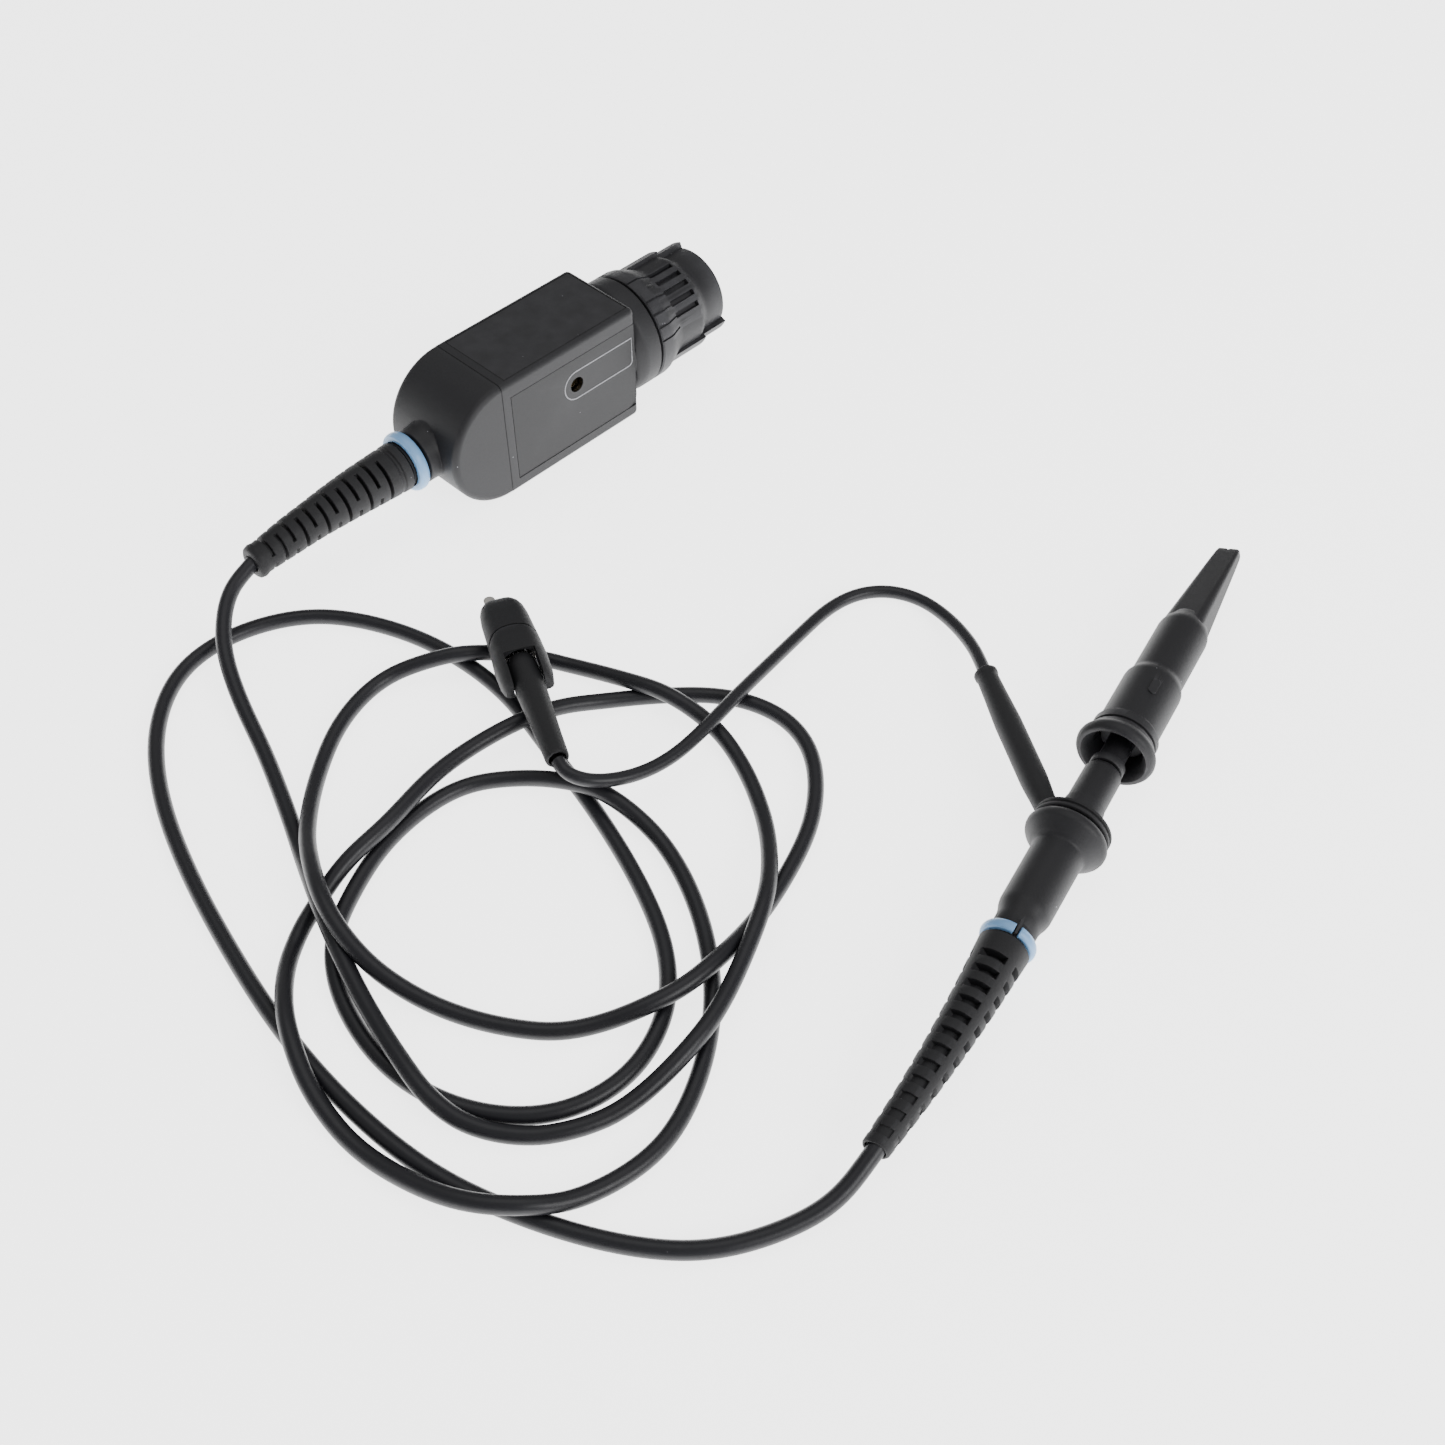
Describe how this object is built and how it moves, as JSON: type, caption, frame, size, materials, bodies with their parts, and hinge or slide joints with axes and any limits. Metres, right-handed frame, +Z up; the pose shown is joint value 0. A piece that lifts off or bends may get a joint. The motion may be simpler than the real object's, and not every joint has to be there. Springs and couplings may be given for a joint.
{
  "type": "oscilloscope probe",
  "caption": "Passive oscilloscope probe: compensation box with locking-ring connector, looped cable, probe head with retractable hook and a ground lead with clip.",
  "frame": {"origin": "centre of the footprint of the probe without its free cable, ground wire and clip, on the surface it lies on", "axes": "+Z up from the surface it lies on; the box's connector points between +X and +Y, and the hook tip points towards +Y and +X"},
  "size_m": [0.2035, 0.2253, 0.0272],
  "materials": {
    "black_plastic": "fine spark-eroded moulded plastic",
    "black_rubber": "matte soft moulding",
    "cable_jacket": "smooth satin jacket",
    "blue_marker": "satin coloured ring",
    "nickel": "bright nickel plate",
    "gold": "gold flash",
    "white_insulator": "natural white",
    "green_board": "solder mask",
    "ceramic": "sintered ceramic"
  },
  "bodies": {
    "probe_set": {"comp_box_shell": "black_plastic", "comp_box_nose": "black_plastic", "side_label_panel": "black_plastic", "top_label_panel": "black_plastic", "circuit_board": "green_board", "trimmer_body": "ceramic", "chip_resistor_1": "ceramic", "chip_resistor_2": "ceramic", "chip_capacitor_1": "ceramic", "bnc_contact_body": "nickel", "bnc_insulator": "white_insulator", "bnc_centre_pin": "gold", "bnc_gasket": "black_rubber", "box_marker_ring": "blue_marker", "box_strain_boot": "black_rubber", "cable_end_box": "cable_jacket", "main_cable": "cable_jacket", "cable_end_probe": "cable_jacket", "probe_strain_boot": "black_rubber", "probe_marker_ring": "blue_marker", "probe_barrel": "black_plastic", "front_barrel": "black_plastic", "shield_tube": "nickel", "tip_insulator": "white_insulator", "tip_resistor": "ceramic", "tip_needle": "gold", "ground_wire": "cable_jacket", "clip_tube_boot": "black_rubber", "clip_lower_shell": "black_rubber", "clip_lower_jaw": "nickel", "clip_pivot_pin": "nickel", "clip_spring": "nickel"},
    "locking_ring": {"bnc_locking_ring": "black_plastic", "bnc_coupling_nut": "nickel"},
    "trimmer": {"trimmer_rotor": "gold"},
    "hook_tip": {"hook_core": "black_plastic", "hook_wire": "nickel", "hook_return_spring": "nickel"},
    "hook_slider": {"hook_sleeve": "black_plastic"},
    "ground_collar": {"ground_collar_boot": "black_rubber", "ground_contact_ring": "nickel"},
    "clip_lever": {"clip_nose_cover": "black_rubber", "clip_hood": "black_rubber", "clip_upper_jaw": "nickel"}
  },
  "joints": [
    {"name": "locking_ring_turn", "type": "hinge", "parent": "probe_set", "child": "locking_ring", "pos_m": [-0.02013, 0.08902, 0.0136], "axis": [0.6934, 0.7206, 0], "continuous": true},
    {"name": "trimmer_turn", "type": "hinge", "parent": "probe_set", "child": "trimmer", "pos_m": [-0.0363, 0.06211, 0.0171], "axis": [0.7206, -0.6934, 0], "continuous": true},
    {"name": "hook_tip_pull_off", "type": "slide", "parent": "probe_set", "child": "hook_tip", "axis": [0.5038, 0.8638, 0], "range_m": [0, 0.03]},
    {"name": "hook_sleeve_retract", "type": "slide", "parent": "hook_tip", "child": "hook_slider", "axis": [-0.5038, -0.8638, 0], "range_m": [0, 0.0085], "stiffness_N_per_m": 300, "springref_m": -0.003, "deforming": ["hook_return_spring"]},
    {"name": "ground_collar_swivel", "type": "hinge", "parent": "probe_set", "child": "ground_collar", "pos_m": [0.0541, -0.04687, 0.0073], "axis": [0.5038, 0.8638, 0], "range_deg": [-5, 40], "deforming": ["ground_wire"]},
    {"name": "clip_jaw_open", "type": "hinge", "parent": "probe_set", "child": "clip_lever", "pos_m": [-0.0418, -0.00741, 0.00721], "axis": [0.9449, 0.3272, 0], "range_deg": [0, 15], "stiffness_Nm_per_rad": 0.01, "springref_deg": -17.19}
  ]
}
